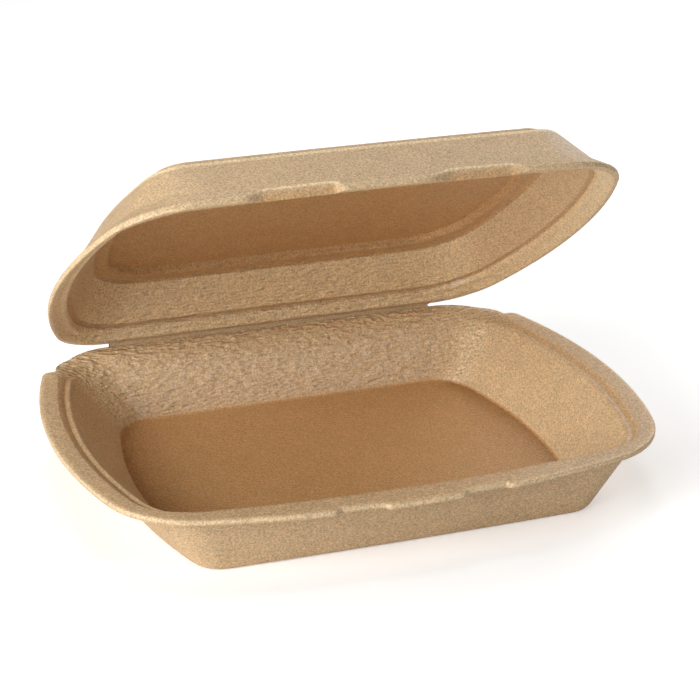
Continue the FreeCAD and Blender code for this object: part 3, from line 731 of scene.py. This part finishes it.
# Painted shade: the ceiling, its rise and the crease are a deeper tan, and so
# is the reliefs' bevel. Painted light: the walls, the brim and the lip are
# paler, with painted highlights on the outer edge of the ledge and on the
# reliefs' crest.
LID_TURN_SHEEN, LID_BACK_SHEEN = 0.35, 0.3
lid_sheen = np.clip(PLAIN_SHEEN + LID_TURN_SHEEN * lid_turn + LID_BACK_SHEEN * lid_back, 0, 1)
lid_sheen[foot_bend + 2 :] = OUTSIDE_SHEEN
CEILING_PAINTED_SHADE, RISER_PAINTED_SHADE, CREASE_PAINTED_SHADE, BEVEL_PAINTED_SHADE = 1, 0.8, 0.25, 0.95
LID_WALL_PAINTED_LIGHT, LID_BACK_PAINTED_LIGHT, BRIM_PAINTED_LIGHT, LIP_PAINTED_LIGHT, CREST_PAINTED_HIGHLIGHT = 0.3, 0.65, 0.9, 0.25, 0.7
LEDGE_PAINTED_HIGHLIGHT = 0.9
lid_painted_light_and_shade = np.zeros(lid_sheen.shape)
# Painted light: the lid's inner walls are paler, the back one most.
lid_painted_light_and_shade[inner_wall:brim] = -LID_WALL_PAINTED_LIGHT - LID_BACK_PAINTED_LIGHT * smooth_step(lid_outward[:, 1], low=0.2, high=0.8)
# Painted shade: the ceiling and its rise are a deeper tan.
lid_painted_light_and_shade[:inner_wall] = RISER_PAINTED_SHADE
lid_painted_light_and_shade[: ceiling_bend + 2] = CEILING_PAINTED_SHADE
# Painted shade in the crease above the brim.
lid_painted_light_and_shade[crease_bend - 1 : brim] = CREASE_PAINTED_SHADE
# Painted light along the brim.
lid_painted_light_and_shade[brim : lip_bend + 2] = -BRIM_PAINTED_LIGHT
# Painted light on the lip.
lid_painted_light_and_shade[lip_bend + 2 : outer_brim + 1] = -LIP_PAINTED_LIGHT
# Painted shade on the reliefs' bevel.
lid_painted_light_and_shade[foot_bend - 1 : head_bend] += BEVEL_PAINTED_SHADE * relief
# Painted highlight on the reliefs' crest.
lid_painted_light_and_shade[head_bend + 1 : outer_brim + 1] -= CREST_PAINTED_HIGHLIGHT * relief
# Painted highlight on the outer edge of the ledge.
lid_painted_light_and_shade[ledge_bend - 1 : outer_ledge + 1] = -LEDGE_PAINTED_HIGHLIGHT


def opened(points):
    """Points of the closed lid turned up about the hinge line by the lid's angle."""
    back = points[..., 1] - HINGE_BACK
    up = points[..., 2]
    return np.stack(
        [
            points[..., 0],
            HINGE_BACK + back * math.cos(LID_ANGLE) + up * math.sin(LID_ANGLE),
            RIM_HEIGHT - back * math.sin(LID_ANGLE) + up * math.cos(LID_ANGLE),
        ],
        axis=-1,
    )


lid = skin_mesh("lid_skin", opened(lid_rows)[::-1], lid_sheen[::-1], lid_painted_light_and_shade[::-1])
lid.data.materials.append(foam)
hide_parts("lid")
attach(lid, "lid")

# Living hinge: the same sheet pressed thin along the back, so that it folds.
# It joins the tray's back rim to the lid's back edge, with a groove inside
# the fold and slight ripples on its outside.
HINGE_HALF = 73 * MM
WEB = 1.1 * MM
FOLD_STEPS = 14
OVERLAP = 0.7 * MM
TAB_GAP = 0.05 * MM
FOLD_GROOVE = (0.60 * MM, -0.22 * MM)
RIPPLE_LENGTH, RIPPLE_HEIGHT, RIPPLE_INWARD = 2.2 * MM, 0.25 * MM, 0.7
WEB_SHEEN, WEB_PAINTED_LIGHT = 0.4, 0.2


def hinge_section(shift):
    """Closed section of the web, counter-clockwise in the YZ plane, from the hinge axis.

    A flat tab under the rim plane, a fan round the axis from straight down to
    the lid's own up, a flat tab on the lid and a groove between the tabs.
    shift moves the fan's outside in or out a little, one number for each section.
    """
    up = math.pi / 2 - LID_ANGLE
    tab = HINGE_BACK - RIM_BACK + OVERLAP
    fan = np.linspace(-math.pi / 2, up, FOLD_STEPS)
    outer = (WEB + shift)[:, None, None] * np.stack([np.cos(fan), np.sin(fan)], axis=1)[None]
    inward = np.array([-math.cos(LID_ANGLE), math.sin(LID_ANGLE)])
    lift = np.array([math.sin(LID_ANGLE), math.cos(LID_ANGLE)])
    tray_low = np.array([-tab, -WEB])
    tray_high = np.array([-tab, -TAB_GAP])
    lid_high = inward * tab + lift * WEB
    lid_low = inward * tab + lift * TAB_GAP
    ends = np.stack([lid_high, lid_low, FOLD_GROOVE, tray_high, tray_low])
    return np.concatenate([outer, np.broadcast_to(ends, (len(shift), 5, 2))], axis=1)


hinge_x = np.linspace(-HINGE_HALF, HINGE_HALF, 240)
ripple = lattice_noise(hinge_x[:, None] / RIPPLE_LENGTH * [1, 0, 0], seed=5)
hinge_ring = hinge_section((ripple - RIPPLE_INWARD) * RIPPLE_HEIGHT)
hinge_rows = np.concatenate(
    [
        np.broadcast_to(hinge_x[:, None, None], (*hinge_ring.shape[:2], 1)),
        hinge_ring[..., :1] + HINGE_BACK,
        hinge_ring[..., 1:] + RIM_HEIGHT,
    ],
    axis=2,
)
web_sheen = np.full(hinge_rows.shape[:2], WEB_SHEEN)
# Painted light: the web is a little paler than the foam.
web_painted_light = np.full(hinge_rows.shape[:2], -WEB_PAINTED_LIGHT)
hinge_web = skin_mesh("hinge_web", hinge_rows[::-1], web_sheen, web_painted_light)
hinge_web.data.materials.append(foam)
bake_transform(hinge_web)

# Table: a wide pale floor that only carries the shadow. The camera sees it
# glow more than it lights the object.
FLOOR_HALF = 6
GLOW_GIVEN, GLOW_SEEN = 0.03, 0.34
floor_mesh = bpy.data.meshes.new("floor")
floor_corners = FLOOR_HALF * np.array([(-1, -1, 0), (1, -1, 0), (1, 1, 0), (-1, 1, 0)])
floor_mesh.from_pydata(floor_corners.tolist(), [], [(0, 1, 2, 3)])
floor = bpy.data.objects.new("floor", floor_mesh)
bpy.context.scene.collection.objects.link(floor)
floor_paint = bpy.data.materials.new("pale floor")
floor_paint.use_nodes = True
floor_shader = floor_paint.node_tree.nodes["Principled BSDF"]
floor_shader.inputs["Base Color"].default_value = (0.95, 0.95, 0.95, 1)
floor_shader.inputs["Roughness"].default_value = 0.9
floor_shader.inputs["Emission Color"].default_value = (1, 1, 1, 1)
seen = floor_paint.node_tree.nodes.new("ShaderNodeLightPath")
glow = floor_paint.node_tree.nodes.new("ShaderNodeMapRange")
glow.inputs["To Min"].default_value = GLOW_GIVEN
glow.inputs["To Max"].default_value = GLOW_SEEN
floor_paint.node_tree.links.new(seen.outputs["Is Camera Ray"], glow.inputs["Value"])
floor_paint.node_tree.links.new(glow.outputs["Result"], floor_shader.inputs["Emission Strength"])
floor_mesh.materials.append(floor_paint)

# Studio light: a broad lamp above and behind, two soft ones on the left, one
# behind on the right, three weak ones to fill, and a dim room.
world = bpy.data.worlds.new("white room")
world.use_nodes = True
world.node_tree.nodes["Background"].inputs["Color"].default_value = (1, 1, 1, 1)
world.node_tree.nodes["Background"].inputs["Strength"].default_value = 0.02
bpy.context.scene.world = world

AIM = (0, 0, 0.05)


def soft_lamp(name, place, size, watts):
    """A square area lamp at place that faces the object.

    Its tilt is the angle between its own axis and the vertical, and its turn
    the compass angle of that axis.
    """
    lamp = bpy.data.lights.new(name, "AREA")
    lamp.size = size
    lamp.energy = watts
    carrier = bpy.data.objects.new(name, lamp)
    bpy.context.scene.collection.objects.link(carrier)
    carrier.location = place
    facing = np.array(place) - np.array(AIM)
    carrier.rotation_euler = (
        math.acos(facing[2] / np.linalg.norm(facing)),
        0,
        math.atan2(facing[1], facing[0]) + math.pi / 2,
    )


soft_lamp("top lamp", (0, 0.5, 1.2), size=0.8, watts=5.2)
soft_lamp("left lamp", (-0.85, -0.3, 0.54), size=0.35, watts=4.6)
soft_lamp("front left lamp", (-0.8, -0.5, 0.3), size=0.4, watts=4.6)
soft_lamp("front right lamp", (0.4, -0.8, 0.72), size=0.3, watts=1.5)
soft_lamp("right lamp", (0.9, -0.1, 0.3), size=0.5, watts=0.4)
soft_lamp("back right lamp", (0.8, 0.6, 0.5), size=0.5, watts=4.3)
soft_lamp("back left lamp", (-0.7, 0.7, 0.6), size=0.5, watts=0.8)

# Camera: raised and to the left of the front, so that it looks down into the
# open box, with a slight tilt.
CAMERA_PLACE = (-0.33884, -0.82342, 0.44997)
CAMERA_RIGHT = (0.92841, -0.37006, 0.03337)
CAMERA_UP = (0.12482, 0.39521, 0.91007)
CAMERA_BACK = (-0.34997, -0.84075, 0.41310)
camera_data = bpy.data.cameras.new("camera")
camera_data.lens = 125.9
camera_data.sensor_width = 36
camera_data.shift_x = -0.0074
camera_data.shift_y = 0.0217
camera = bpy.data.objects.new("camera", camera_data)
bpy.context.scene.collection.objects.link(camera)
camera_turn = Matrix((CAMERA_RIGHT, CAMERA_UP, CAMERA_BACK)).transposed()
camera.matrix_world = Matrix.Translation(CAMERA_PLACE) @ camera_turn.to_4x4()
bpy.context.scene.camera = camera
bpy.context.scene.view_settings.view_transform = "Standard"
